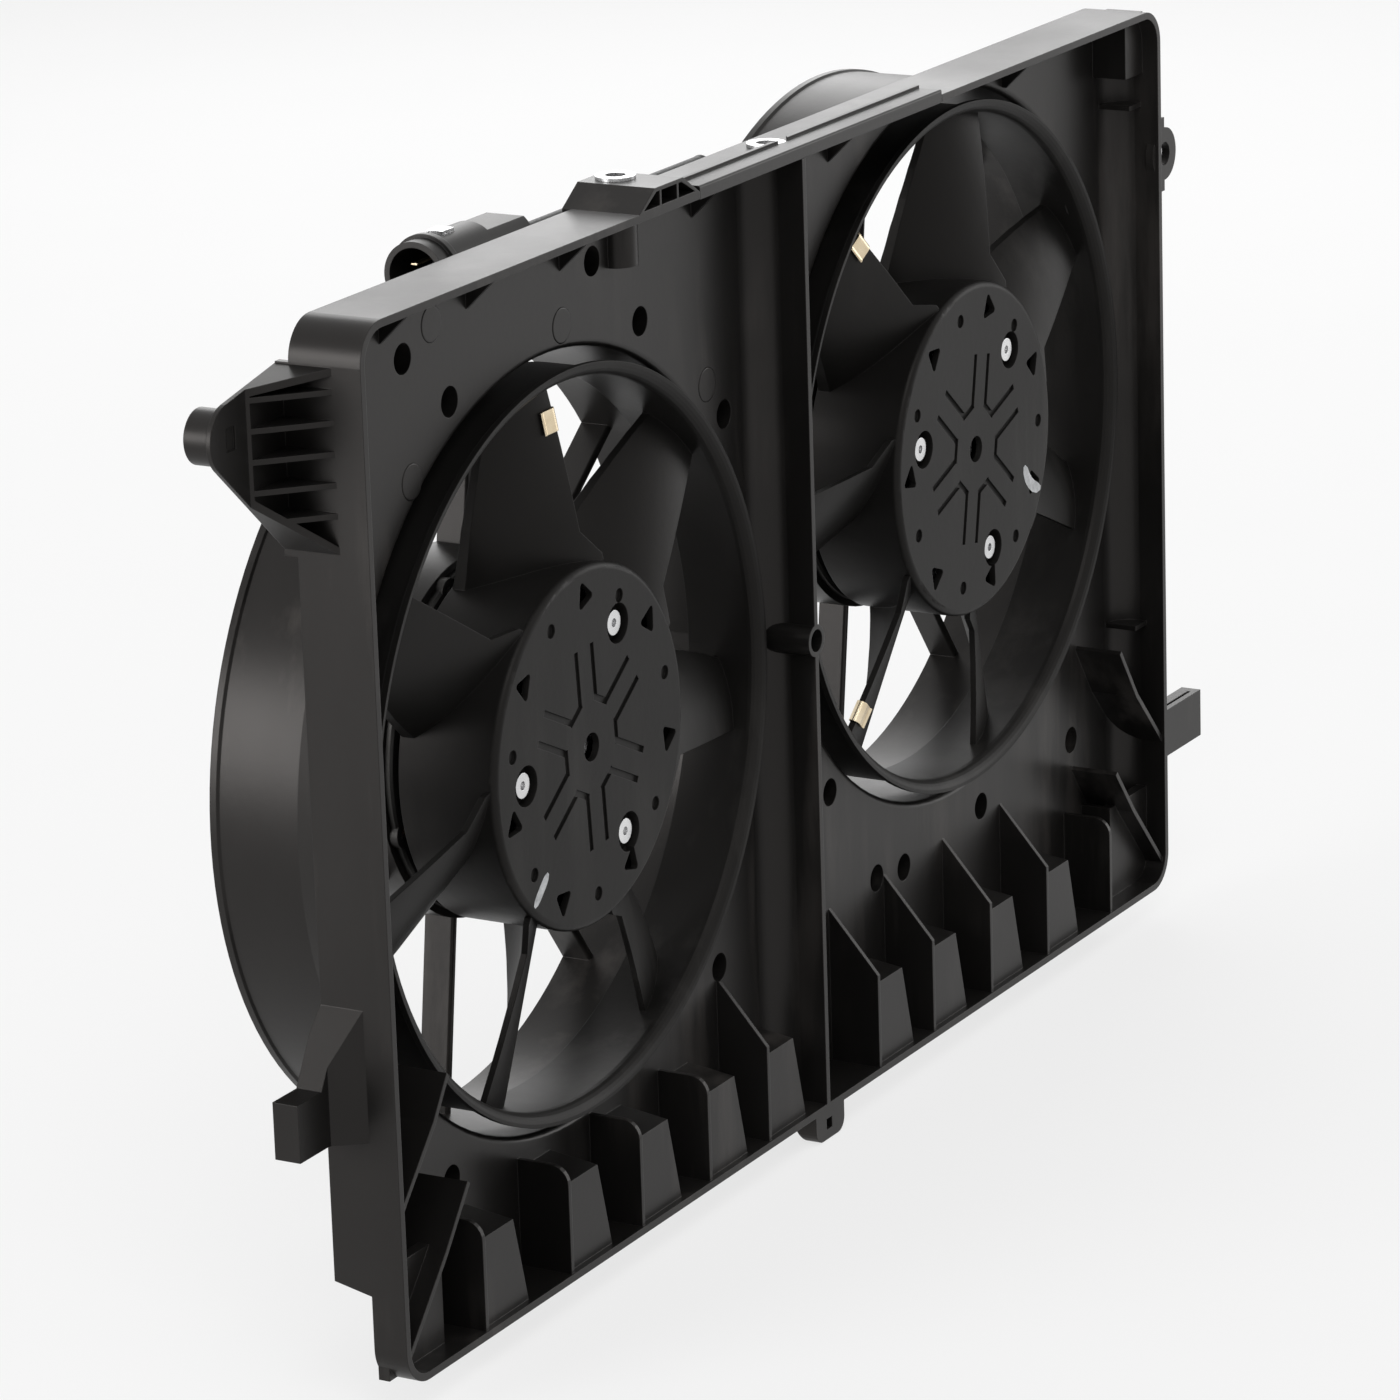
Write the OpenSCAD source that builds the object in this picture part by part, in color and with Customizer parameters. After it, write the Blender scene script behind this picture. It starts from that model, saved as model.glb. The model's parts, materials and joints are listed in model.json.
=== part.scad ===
// Dual radiator cooling fan: a moulded shroud tray that carries two motor driven fans.
// X runs across the radiator, Y runs with the air flow (front to rear), Z points up.
// The origin is the centre of the front rim plane, at the mouth of the locating socket.

/* [Shroud tray] */
// Width of the front rim
rim_w = 700; // [690:1:740]
// Height of the front rim
rim_h = 428; // [424:1:450]
// Depth of the side walls, from the front rim to their rear edge
tray_d = 32; // [31:0.5:38]
// Thickness of the side walls
wall_t = 3.2; // [2.6:0.1:4]
// Depth of the panel's front face behind the rim
panel_y = 25; // [24:0.5:26]
// Thickness of the panel
panel_t = 3; // [2.4:0.1:4]
// Radius of the rim's outer corners
corner_r = 16; // [10:1:20]
// Thickness of the upright divider between the two bays
divider_t = 3; // [2.4:0.1:4]
// Radius of the soft corner between the upright walls and the panel
bay_fillet_r = 14; // [8:1:16]

/* [Fan openings] */
// Distance between the two fan axes
axis_gap = 348; // [345:1:354]
// Height of the right fan axis above the left one
right_rise = 42.5; // [38:0.5:43]
// Radius of the opening's rounded front edge
mouth_round = 3; // [2:0.5:5]
// Radius inside the fan barrel
barrel_r = 162; // [161:0.5:163]
// Wall thickness of the fan barrel
barrel_t = 3; // [2.4:0.1:4]
// Depth of the barrel's rear edge behind the rim
barrel_end_y = 86; // [83:0.5:95]

/* [Floor steps and gussets] */
// Spacing of the gussets along the floor, from the divider outwards
gusset_pitch = 56.5; // [50:0.5:58]
// Distance from the divider to the first gusset on each side
gusset_first = 51.3; // [48:0.5:54]
// Width of each step beside its gusset
step_w = 36; // [28:1:42]
// Height of the steps above the lower rim edge
step_h = 45; // [40:1:50]
// Height of the tall gussets above the lower rim edge
gusset_h = 74; // [66:1:80]
// Thickness of the gussets and ribs
rib_t = 2.2; // [1.6:0.1:3]
// Depth of the step faces behind the rim
step_y = 3.2; // [2.4:0.1:6]

/* [Fan wheel] */
// Radius of the hub
hub_r = 76; // [75:0.5:80]
// Depth of the hub face behind the rim
hub_y = 10.5; // [9:0.5:11]
// Length of the hub along its axis
hub_len = 45; // [42:0.5:46]
// Wall thickness of the hub
hub_t = 3; // [2.4:0.1:3.4]
// Running gap between the tip ring's lip and the barrel
tip_gap = 5; // [4:0.5:9]
// Thickness of the tip ring
ring_t = 2.6; // [2:0.1:3.4]
// Depth of the tip ring's front lip behind the rim
ring_y = 15; // [13:0.5:16]
// Length of the tip ring along its axis
ring_len = 35; // [33:0.5:38]
// Number of blades
blade_count = 7; // [5:1:9]
// Angle of the blades to the plane of the fan
blade_pitch = 26; // [22:1:32]
// Radius of the blades' bow
blade_bow_r = 70; // [60:1:110]
// Skew of the bow across the blade, which makes the blade flatter towards its tip
blade_skew = 19; // [10:1:24]
// Rearward lean of the blade from root to tip
blade_lean = 3.7; // [1:0.1:6]
// Width of a blade in front of its radial line
blade_front_w = 17.5; // [14:0.5:19]
// Width of a blade behind its radial line, at the hub
blade_rear_w = 23; // [16:0.5:25]
// How much the rear edge draws in towards the tip
blade_taper = 11; // [0:0.5:14]
// Thickness of the blades
blade_t = 2.8; // [2:0.1:4]
// Radius of the circle on which the fan screws sit
screw_circle_r = 52; // [48:0.5:54]
// Radius of the recessed pockets around the fan screws
pocket_r = 8.5; // [7.5:0.1:9.5]
// Half width of the solid spokes between the hub's grooves
groove_gap = 6.3; // [5:0.1:7]
// Width of the hub's grooves
groove_w = 2.8; // [1.4:0.1:3]

/* [Motor] */
// Outer radius of the rotor bell
bell_r = 70; // [68:0.5:71]
// Wall thickness of the rotor bell
bell_t = 2; // [1.6:0.1:2.4]
// Depth of the bell's front face behind the rim
bell_y = 22.5; // [22:0.1:23]
// Length of the rotor bell along its axis
bell_len = 35; // [33:0.5:36]
// Radius of the motor shaft
shaft_r = 4; // [3.5:0.1:5]
// Outer radius of the ball bearings
bearing_r = 11; // [10.5:0.1:12]
// Width of the ball bearings
bearing_w = 7; // [6:0.5:8]
// Running clearance around the shaft
run_clear = 0.05; // [0.02:0.01:0.09]
// Radial thickness of the magnet ring
magnet_t = 4.5; // [3.5:0.1:5]
// Air gap between magnets and stator
air_gap = 0.8; // [0.6:0.1:1.2]
// Number of stator teeth
tooth_count = 12; // [9:3:15]
// Depth of the motor base's front face behind the rim
base_y = 60; // [59.5:0.1:61]
// Thickness of the motor base
base_t = 4; // [3:0.1:5]
// Lap of the motor base's flange on the carrier ring
base_lap = 8; // [7:0.5:10]
// Radius of the rear motor cover
cover_r = 62; // [58:0.5:63]
// Length of the rear motor cover along the axis
cover_len = 17; // [15:0.5:20]

/* [Motor carrier] */
// Clearance between the motor cover and the carrier ring around it
cover_gap = 4; // [3:0.5:5]
// Radial width of the carrier ring
carrier_w = 11; // [10:0.5:13]
// Depth of the stator arms and the carrier ring along the axis
arm_d = 14; // [10:0.5:16]
// Thickness of each stator arm
arm_t = 3.6; // [2.8:0.1:5]
// Number of stator arms for each fan
arm_count = 8; // [6:1:9]

/* [Fixings] */
// Radius of the hole in the right mounting ear
ear_hole_r = 5.5; // [4:0.1:6]
// Radius of the boss on the left mounting ear
spigot_r = 14; // [12:0.5:15]
// Radius of the pin behind that boss
pin_r = 11; // [9:0.5:11.5]
// Length of the spigot behind the left ear
spigot_len = 12; // [8:0.5:16]
// Radius of the locating socket in the middle of the rim
socket_r = 5; // [4:0.1:5.5]
// Radius of the holes for the metal sleeves in the top wall
sleeve_hole_r = 6.2; // [5.4:0.1:7]
// Gap between parts that are fitted together
fit_gap = 0.2; // [0.1:0.05:0.3]

/* [Wiring] */
// Radius of the connector shell
plug_r = 14; // [12:0.5:15]
// Length of the connector shell
plug_len = 70; // [60:1:80]
// Outer radius of the ribbed conduit
conduit_r = 4; // [3:0.1:5]

/* [Hidden] */

$fn = 96;
eps = 0.01;
through = 200;

black = "#1b1b1c";
graphite = "#2a2a2b";
steel = "#9a9c9e";
aluminium = "#b5b7b8";
copper = "#b5653a";
brass = "#c8a46a";
board_green = "#1f5a3c";

// Places of the two fan axes
left_axis = [-axis_gap / 2, 0, 0];
right_axis = [axis_gap / 2, 0, right_rise];

// Inner faces of the tray
in_x = rim_w / 2 - wall_t;
in_z = rim_h / 2 - wall_t;
panel_back = panel_y + panel_t;

// Turned positions of the two wheels, and of the pattern and the blades on a wheel
left_turn = 0;
right_turn = -15;
screw_turn = 62;
groove_turn = 4.6;
vent_turn = -11.8;
dimple_turn = 13.9;
blade_turn = 96;
blade_angles = [for (i = [0:blade_count - 1]) blade_turn + i * 360 / blade_count];

// Clearances of parts that are pressed or screwed together
press_gap = 0.02;

// Inner radius of the carrier ring, and radius of the motor base's flange
carrier_r = cover_r + cover_gap;
base_r = carrier_r + base_lap;

// Front edge of the openings
mouth_r = barrel_r + mouth_round;

// Flared lip of the tip ring, and the ring's inner radius
lip_r = 6;
ring_r = barrel_r - tip_gap - lip_r;
lip_in_r = lip_r - ring_t;

// Extrudes a drawing of X and Z from depth y0 to depth y1
module plate(y0, y1) {
    translate([0, y1, 0])
        rotate([90, 0, 0])
            linear_extrude(y1 - y0) children();
}

// Extrudes a drawing of Y and Z along X, centred on x
module fin(x, t) {
    translate([x - t / 2, 0, 0])
        rotate([90, 0, 90])
            linear_extrude(t) children();
}

// Extrudes a drawing of X and Y upwards from z0 to z1
module shelf(z0, z1) {
    translate([0, 0, z0])
        linear_extrude(z1 - z0) children();
}

// Spins a drawing of radius and depth about the Y axis
module spin() {
    rotate([-90, 0, 0])
        rotate_extrude() children();
}

// Round bar along Y from depth y0 to depth y1
module rod(r, y0, y1) {
    translate([0, y1, 0])
        rotate([90, 0, 0])
            cylinder(r = r, h = y1 - y0);
}

// Places a child at a radius and an angle about the Y axis
module around(r, a) {
    translate([r * cos(a), 0, r * sin(a)])
        rotate([0, -a, 0]) children();
}

// Rounded outline of the tray, drawn in X and Z
module rim_outline(inset) {
    w = rim_w - 2 * inset;
    h = rim_h - 2 * inset;
    r = corner_r - inset;
    square([w - 2 * r, h], center = true);
    square([w, h - 2 * r], center = true);
    for (x = [-1, 1], z = [-1, 1])
        translate([x * (w / 2 - r), z * (h / 2 - r)])
            circle(r);
}

// Hollow corner between the panel and an upright wall whose left face is at x
module soft_corner(x) {
    translate([x - bay_fillet_r, panel_y - bay_fillet_r, 0])
        shelf(-in_z, in_z)
            difference() {
                square(bay_fillet_r + 1);
                circle(bay_fillet_r + 0.05);
            }
}

// The space that the air passes through, with the panel's rounded edge left standing
module mouth_cut(axis) {
    translate(axis)
        spin()
            polygon([
                [0, -through], [mouth_r, -through],
                for (a = [0:15:90])
                    [mouth_r - mouth_round * sin(a), panel_back - mouth_round * cos(a)],
                [barrel_r, panel_back + 1], [0, panel_back + 1]
            ]);
}

// Distances of the gussets from the divider
gusset_shift = [0, -3.8, -2.5, -0.5, 10.7];
gusset_x = [for (i = [0:4]) gusset_first + i * gusset_pitch + gusset_shift[i]];
gusset_top = -rim_h / 2 + gusset_h;
step_top = -rim_h / 2 + step_h;

// Side view of a tall straight gusset, drawn in Y and Z
module tall_gusset_shape() {
    polygon([
        [1, -in_z - 1], [1, gusset_top - 28], [panel_y, gusset_top],
        [panel_y + 1, gusset_top], [panel_y + 1, -in_z - 1]
    ]);
}

// Side view of a low rounded gusset
module low_gusset_shape() {
    r = 8;
    top = step_top + 4.5;
    polygon([
        [1, -in_z - 1],
        for (a = [0:15:90])
            [1 + r - r * cos(a), top - r + r * sin(a)],
        [panel_y + 1, top], [panel_y + 1, -in_z - 1]
    ]);
}

// Outline of a step beside a gusset, from x towards the right
module step_outline(x, inset) {
    polygon([
        [x + inset, -in_z - 1 + inset],
        [x + step_w - inset, -in_z - 1 + inset],
        [x + step_w * 0.7 - inset, step_top - inset],
        [x + inset, step_top - inset]
    ]);
}

// Left edges of all the floor steps
step_x = [for (g = gusset_x) -g, for (g = gusset_x) if (g < gusset_x[4]) g];

module floor_step(x) {
    difference() {
        plate(step_y, panel_back)
            step_outline(x, 0);
        // Sloping top face
        fin(x + step_w / 2, step_w + 4)
            polygon([
                [step_y - 1, step_top - 4],
                [panel_back + 1, step_top + 0.2],
                [panel_back + 1, step_top + 4],
                [step_y - 1, step_top + 4]
            ]);
    }
}

module floor_step_hollow(x) {
    difference() {
        plate(step_y + panel_t, panel_back + 1)
            step_outline(x, panel_t);
        fin(x + step_w / 2, step_w + 4)
            polygon([
                [step_y - 1, step_top - panel_t - 6],
                [panel_back + 2, step_top - panel_t],
                [panel_back + 2, step_top + 4],
                [step_y - 1, step_top + 4]
            ]);
    }
}

// Low block at each lower corner, where the tray is shallow
corner_block_w = 41.5;
corner_block_y = 10;
corner_depth = 15;

module corner_block(side) {
    x0 = side * (in_x + 1) - (side > 0 ? corner_block_w : 0);
    plate(corner_block_y, corner_block_y + panel_t + 2)
        translate([x0, -in_z - 1])
            square([corner_block_w, step_h + 1]);
    // Ledge from the block's face back to the panel
    translate([x0, corner_block_y, step_top - panel_t])
        cube([corner_block_w, panel_back - corner_block_y, panel_t]);
    // Inner side of the block
    translate([side > 0 ? x0 : x0 + corner_block_w - panel_t, corner_block_y, -in_z - 1])
        cube([panel_t, panel_back - corner_block_y, step_h + 1]);
}

// Wedge cut away behind each lower corner
module corner_cut(side) {
    x0 = side * (rim_w / 2 + 1) - (side > 0 ? corner_block_w - panel_t - wall_t + 3 : 0);
    translate([x0, 0, 0])
        rotate([90, 0, 90])
            linear_extrude(corner_block_w - panel_t - wall_t + 3)
                polygon([
                    [corner_depth, -rim_h / 2 - 1],
                    [corner_depth, step_top - panel_t - 4],
                    [tray_d + 1, step_top - panel_t],
                    [tray_d + 1, -rim_h / 2 - 1]
                ]);
}

// Slanting rib in a lower corner, from the panel to the side wall
module corner_rib(side, a, k, b) {
    for (seg = [[a, k], [k, b]]) {
        dx = side * (seg[1][0] - seg[0][0]);
        dz = seg[1][1] - seg[0][1];
        plate(1.5, panel_y + 1)
            translate([side * seg[0][0], seg[0][1]])
                rotate(atan2(dz, dx))
                    translate([-rib_t / 4, -rib_t / 2])
                        square([norm([dx, dz]) + rib_t / 2, rib_t]);
    }
}

// Holes through the panel, as places in X and Z
panel_hole_r = 6.25;
hole_cup = 8;
panel_holes = [
    [-281, 184.5], [-248.2, 160], [-98.3, 159.6], [-30.5, 104.7], [-135.2, 192.5], [-271.9, -156],
    [-49.2, -135.9], [54.4, -86.9], [200.6, -135.7], [295.9, -130.4], [122.8, -142.2], [96.5, -139.5]
];

// Small gussets under the top wall
module top_gusset(x) {
    fin(x, rib_t)
        polygon([[6, in_z + 1], [panel_y + 1, in_z - 18], [panel_y + 1, in_z + 1]]);
}

// Mounting ear on the left, a ribbed arm that carries the spigot
ear_boss = [-rim_w / 2 - 35, -38 + rim_h / 2];
ear_y = 36;
ear_back = 50;

// Point where a line from p touches the circle of radius r around c
function touch(p, c, r, side) =
    let (b = atan2(p[1] - c[1], p[0] - c[0]))
    let (a = acos(r / norm(p - c)))
    c + r * [cos(b + side * a), sin(b + side * a)];

module left_ear_outline(grow) {
    r = spigot_r + grow;
    high = [-rim_w / 2 + wall_t, rim_h / 2 - 16 + grow];
    low = [-rim_w / 2 + wall_t, rim_h / 2 - 92 - grow];
    translate(ear_boss)
        circle(r);
    polygon([high, touch(high, ear_boss, r, 1), ear_boss, touch(low, ear_boss, r, -1), low]);
}

module left_ear() {
    difference() {
        union() {
            // Back plate
            plate(ear_back - 3 - 12, ear_back - 12)
                left_ear_outline(0);
            // Ribs and outer flange
            difference() {
                plate(13, ear_back - 12)
                    left_ear_outline(0);
                plate(13 - 1, ear_back - 3 - 12)
                    left_ear_outline(-3);
            }
            for (i = [0:4])
                intersection() {
                    plate(13, ear_back - 12)
                        left_ear_outline(0);
                    translate([ear_boss[0] - 5, 13, rim_h / 2 - 75 + i * 12])
                        cube([60, ear_back - 26, rib_t]);
                }
            // Bridge from the tray's side to the back plate
            translate([-rim_w / 2, tray_d - 1, rim_h / 2 - 92])
                cube([wall_t, ear_back - 12 - tray_d + 1, 76]);
            // Boss at the tip
            translate([ear_boss[0], 0, ear_boss[1]])
                rod(spigot_r, ear_y, ear_back - 12);
        }
        // Front of the arm slants back towards the tip
        translate([-rim_w / 2, 0, 0])
            shelf(0, rim_h)
                polygon([[0, 13], [2, 0], [-80, 0], [-80, ear_y], [-24, ear_y]]);
        // Sight window in the boss
        translate([ear_boss[0] - 3, ear_y - 5, ear_boss[1] - 4.5])
            cube([6, 30, 9]);
    }
    // Spigot behind the ear
    translate([ear_boss[0], 0, ear_boss[1]])
        difference() {
            rod(pin_r, ear_back - 13, ear_back - 12 + spigot_len);
            rod(pin_r - 3, ear_back - 12, ear_back - 12 + spigot_len + 1);
        }
}

// Hook-in foot low on the left side, with a root that widens upwards
module left_foot() {
    x = -rim_w / 2;
    intersection() {
        translate([x, 0, 0])
            shelf(-113, -52)
                polygon([[1, 12], [-12, 22.5], [-34, 22.5], [-34, 34], [-6, 34], [1, tray_d]]);
        plate(0, 40)
            polygon([
                [x - 40, -110], [x - 40, -86.5], [x - 17, -86.5], [x + 2, -54],
                [x + 2, -112], [x - 14, -110]
            ]);
    }
}

// Flat ear with a bolt hole on the right
ear_hole = [rim_w / 2 + 7.5, rim_h / 2 - 71];

module right_ear() {
    plate(2, 6)
        difference() {
            union() {
                translate(ear_hole)
                    circle(12.5);
                translate([rim_w / 2 - 1, ear_hole[1] - 17.5])
                    square([8.5, 35]);
            }
            translate(ear_hole)
                circle(ear_hole_r);
            for (z = [-1, 1])
                translate(ear_hole + [7.5, z * 20.5])
                    circle(8);
        }
}

module right_tab() {
    translate([rim_w / 2 - 1, 0, -150.5])
        difference() {
            cube([39, 10, 23]);
            translate([4, 3, 21.5])
                cube([30, 1.5, 4]);
        }
}

// Lower tongue with rounded corners and a square slot
module bottom_tab() {
    tab_x = [-12, 14];
    tab_low = -13;
    corner = 6;
    translate([0, 0, -rim_h / 2])
        difference() {
            intersection() {
                translate([tab_x[0] - 1, 0, tab_low - 1])
                    rotate([90, 0, 90])
                        linear_extrude(tab_x[1] - tab_x[0] + 2)
                            polygon([[0, 15], [0, 0], [6, 0], [10, 7], [10, 15]]);
                plate(-1, 12)
                    polygon([
                        [tab_x[0], 1],
                        for (a = [180:15:270])
                            [tab_x[0] + corner + corner * cos(a), tab_low + corner + corner * sin(a)],
                        for (a = [270:15:360])
                            [tab_x[1] - corner + corner * cos(a), tab_low + corner + corner * sin(a)],
                        [tab_x[1], 1]
                    ]);
            }
            translate([-2.5, -1, -8.5])
                cube([5, 20, 5]);
        }
}

// Raised mount on the top wall with two sleeves
sleeve_x = [-114, 2];
sleeve_y = [25, 19];
sleeve_drop = 3;
sleeve_boss_len = 24;
mount_d = 36;
sleeve_z0 = rim_h / 2 - wall_t;
mount_base = [-138.7, -89.3];
mount_top = [-125.7, -102.7];
mount_rise = 8.5;

module top_mount() {
    difference() {
        plate(0, mount_d)
            polygon([
                [mount_base[0], in_z + 1], [mount_base[0], rim_h / 2],
                [mount_top[0], rim_h / 2 + mount_rise], [mount_top[1], rim_h / 2 + mount_rise],
                [mount_base[1], rim_h / 2], [mount_base[1], in_z + 1]
            ]);
        // Three windows with thin posts between them
        plate(-1, 15)
            difference() {
                polygon([
                    [mount_base[0] + 3.6, rim_h / 2 + 0.8], [mount_top[0] + 1.2, rim_h / 2 + mount_rise - 1.6],
                    [mount_top[1] - 1.2, rim_h / 2 + mount_rise - 1.6], [mount_base[1] - 3.6, rim_h / 2 + 0.8]
                ]);
                for (side = [-1, 1])
                    translate([(mount_top[0] + mount_top[1]) / 2 + side * 7 - 0.7, rim_h / 2 - 5])
                        square([1.4, 30]);
            }
    }
}

// Locating socket in the middle of the divider
module socket_boss() {
    rod(socket_r + 2.1, 0, panel_y + 1);
}

// Rails behind the panel that carry the connector
plug_x = [-230, -230 + plug_len];
plug_y = panel_back + 8 + plug_r;
plug_z = rim_h / 2 + 4 - plug_r;

module plug_rail() {
    translate([plug_x[0] + 22, panel_back - 1, plug_z - 7])
        cube([26, plug_y - plug_r - fit_gap - panel_back + 1, 14]);
}

module shroud_tray() {
    color(black)
    difference() {
        union() {
            // Walls
            plate(0, tray_d)
                difference() {
                    rim_outline(0);
                    rim_outline(wall_t);
                }
            // Panel
            plate(panel_y, panel_back)
                rim_outline(wall_t - 0.5);
            // Divider
            translate([-divider_t / 2, 0, -in_z - 0.5])
                cube([divider_t, panel_y + 1, 2 * in_z + 1]);
            intersection() {
                plate(0, panel_back)
                    rim_outline(wall_t - 0.5);
                union() {
                    soft_corner(-divider_t / 2);
                    soft_corner(in_x);
                }
            }
            socket_boss();
            // Closed cups behind the blind holes
            for (p = panel_holes)
                translate([p[0], 0, p[1]])
                    rod(panel_hole_r + 1.6, panel_back - 1, panel_back + hole_cup);
            // Boss under the left sleeve
            translate([sleeve_x[0], sleeve_y[0], in_z - sleeve_boss_len])
                cylinder(r = sleeve_hole_r + 2.2, h = sleeve_boss_len + 1);
            for (x = step_x)
                floor_step(x);
            for (side = [-1, 1]) {
                corner_block(side);
                corner_rib(side, [303, -87], [320, -112], [in_x + 1, -142]);
                corner_rib(side, [297, -145], [315, -168], [in_x + 1, -204]);
                for (i = [0:4])
                    fin(side * gusset_x[i], rib_t)
                        if (i == 4 || (side < 0 && i >= 1)) low_gusset_shape();
                        else tall_gusset_shape();
            }
            for (x = [-296, -232, -160, -52, 68, 236])
                top_gusset(x);
            top_mount();
            left_ear();
            left_foot();
            right_ear();
            right_tab();
            bottom_tab();
            plug_rail();
            // Thin ribs inside the right wall
            for (z = [167, -85])
                translate([in_x - 12, 9, z])
                    cube([13, panel_y - 8, rib_t]);
            // Stop block in the upper right corner
            translate([in_x - 18, 8, rim_h / 2 - 31])
                cube([19, panel_y - 7, 29]);
        }
        mouth_cut(left_axis);
        mouth_cut(right_axis);
        for (x = step_x)
            floor_step_hollow(x);
        for (side = [-1, 1])
            corner_cut(side);
        for (p = panel_holes)
            translate([p[0], 0, p[1]])
                rod(panel_hole_r, panel_y - 1, panel_back + hole_cup - 1.6);
        rod(socket_r, -1, 18);
        // Rebate for the strip
        translate([strip_x[0] - fit_gap, -1, rim_h / 2 - strip_lap - fit_gap])
            cube([strip_x[1] - strip_x[0] + 2 * fit_gap, 1 + strip_t + fit_gap, 20]);
        // Holes for the sleeves
        for (i = [0, 1])
            translate([sleeve_x[i], sleeve_y[i], sleeve_z0 - sleeve_drop - 1])
                cylinder(r = sleeve_hole_r, h = rim_h);
    }
}

// Barrel with the stator arms and the motor carrier of one fan
module fan_barrel(axis) {
    flare = 3;
    color(black)
    difference() {
        union() {
            translate(axis) {
                spin()
                    polygon([
                        [barrel_r, panel_back], [barrel_r + barrel_t + flare, panel_back],
                        [barrel_r + barrel_t, panel_back + 18], [barrel_r + barrel_t, barrel_end_y - 4],
                        [barrel_r + barrel_t + 1, barrel_end_y - 3], [barrel_r + barrel_t + 1, barrel_end_y],
                        [barrel_r, barrel_end_y]
                    ]);
                spin()
                    translate([carrier_r, base_y + base_t])
                        square([carrier_w, barrel_end_y - base_y - base_t]);
                for (i = [0:arm_count - 1])
                    around(0, -98 + i * 360 / arm_count)
                        stator_arm();
            }
        }
        // Clear of the tray's walls
        plate(panel_back - 1, tray_d + fit_gap)
            difference() {
                square([rim_w + 60, rim_h + 60], center = true);
                rim_outline(wall_t);
            }
        // Screw holes of the motor
        translate(axis)
            for (i = [0:3])
                around(motor_screw_r, 20 + i * 90)
                    rod(motor_screw_hole, base_y, barrel_end_y + 1);
    }
}

// Stator arm with a rounded leading edge, from the carrier ring to the barrel
module stator_arm() {
    translate([carrier_r + carrier_w / 2, 0, 0])
        rotate([0, 90, 0])
            linear_extrude(barrel_r + barrel_t / 2 - carrier_r - carrier_w / 2) {
                translate([-arm_t / 2, barrel_end_y - arm_d + arm_t / 2])
                    square([arm_t, arm_d - arm_t / 2]);
                translate([0, barrel_end_y - arm_d + arm_t / 2])
                    circle(arm_t / 2, $fn = 32);
            }
}

// Sleeves pressed into the top wall
module bolt_sleeves() {
    color(steel)
        for (i = [0, 1])
            translate([sleeve_x[i], sleeve_y[i], 0])
                difference() {
                    union() {
                        translate([0, 0, sleeve_z0 - sleeve_drop])
                            cylinder(r = sleeve_hole_r - fit_gap, h = rim_h / 2 - sleeve_z0 + sleeve_drop + 0.5 + sleeve_lift[i]);
                        translate([0, 0, rim_h / 2 + sleeve_lift[i]])
                            cylinder(r = sleeve_hole_r + 2.2, h = 1.5);
                    }
                    translate([0, 0, sleeve_z0 - sleeve_drop - 1])
                        cylinder(r = sleeve_bore_r, h = rim_h);
                }
}

// Height of the surface under each sleeve's flange, above the top wall
sleeve_lift = [mount_rise, 0];
sleeve_bore_r = sleeve_hole_r - fit_gap - 1.7;

// Channel on the front of the top wall that holds the seal
strip_x = [-89, 127];
strip_t = 2;
strip_lap = 3.5;

module top_seal_strip() {
    color(graphite)
    difference() {
        translate([strip_x[0], 0, rim_h / 2])
            rotate([90, 0, 90])
                linear_extrude(strip_x[1] - strip_x[0]) {
                    translate([0, -strip_lap])
                        square([strip_t, strip_lap + fit_gap + strip_t - 1]);
                    translate([1, fit_gap])
                        square([12, strip_t]);
                    translate([1, fit_gap + strip_t - 1])
                        circle(1, $fn = 32);
                    translate([11, fit_gap])
                        square([strip_t, 3.2]);
                }
        // Clearance around the sleeve's flange
        translate([sleeve_x[1], sleeve_y[1], rim_h / 2 - 1])
            cylinder(r = sleeve_hole_r + 2.2 + 0.5, h = 10);
    }
}

// Places along the blade: its front and rear edges at radius r, measured across the radial line
root_r = hub_r - hub_t / 2;
tip_r = ring_r + ring_t / 2;

function front_edge(r) = -blade_front_w - 9 * max(0, 1 - (r - root_r) / 12);
function rear_edge(r) = blade_rear_w - blade_taper * pow(max(0, (r - root_r - 10) / (tip_r - root_r - 10)), 2);

// Flat end of the blade, inside the ring's wall over its whole width
tip_half_w = max(blade_front_w, blade_rear_w - blade_taper);
tip_x = max(ring_r + 0.4, sqrt(pow(ring_r + ring_t - 0.5, 2) - pow(tip_half_w, 2)));
rear_sides = 5;

// Outline of a blade seen from the front, in radius and width
module blade_outline() {
    polygon([
        [root_r - 3, front_edge(root_r)], [root_r, front_edge(root_r)],
        [root_r + 12, front_edge(root_r + 12)], [tip_x, front_edge(tip_x)],
        for (i = [rear_sides:-1:0])
            let (r = root_r + 10 + (tip_x - root_r - 10) * i / rear_sides)
            [r, rear_edge(r)],
        [root_r - 3, rear_edge(root_r)]
    ]);
}

// Middle of the blade's depth, and the half chord at which the bow crosses the chord line
blade_mid_y = hub_y + 22.5;
half_chord = 24;
bow_h = sqrt(pow(blade_bow_r, 2) - pow(half_chord, 2));
blade_mid_r = (root_r + ring_r) / 2;

// Direction of the bow's axis, along the radial line, across the chord and off the chord
bow_dir = [cos(blade_skew) * cos(blade_lean), sin(blade_skew), cos(blade_skew) * sin(blade_lean)];

// Height of the blade's middle surface off the chord plane, at distance u along the chord and radius r
function blade_rise(u, r) =
    let (
        k = (r - blade_mid_r) / bow_dir[0],
        du = u - k * bow_dir[1],
        a = 1 - pow(bow_dir[2], 2),
        b = -2 * du * bow_dir[1] * bow_dir[2],
        c = pow(du, 2) * (1 - pow(bow_dir[1], 2)) - pow(blade_bow_r, 2)
    )
    bow_h + k * bow_dir[2] + (-b - sqrt(b * b - 4 * a * c)) / (2 * a);

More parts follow.
